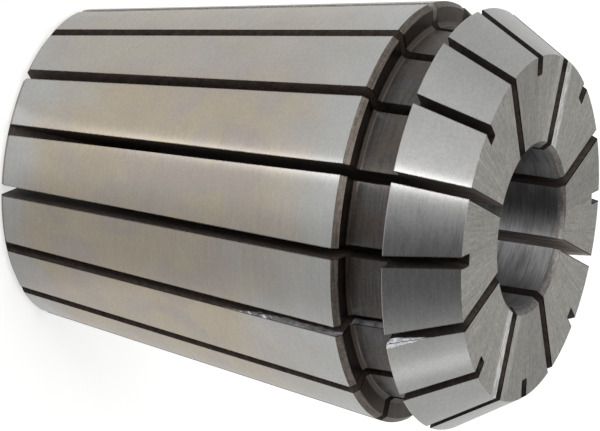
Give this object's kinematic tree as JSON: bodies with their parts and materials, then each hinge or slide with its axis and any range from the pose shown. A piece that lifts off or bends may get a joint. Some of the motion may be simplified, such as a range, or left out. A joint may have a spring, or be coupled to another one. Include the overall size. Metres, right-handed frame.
{
  "type": "spring collet",
  "caption": "One-piece spring collet: long taper, nut groove, short nose cone, round bore, saw slots from both ends in turn.",
  "frame": {"origin": "centre of the rear face, the small end, on the bore's axis", "axes": "+Z along the bore from the rear face towards the nose; +X through the middle of a front slot"},
  "size_m": [0.033, 0.033, 0.04],
  "materials": {
    "ground_steel": "ground and turned spring steel, satin, with faint grinding lines round the axis"
  },
  "bodies": {
    "root": {"collet": "ground_steel"}
  },
  "joints": []
}
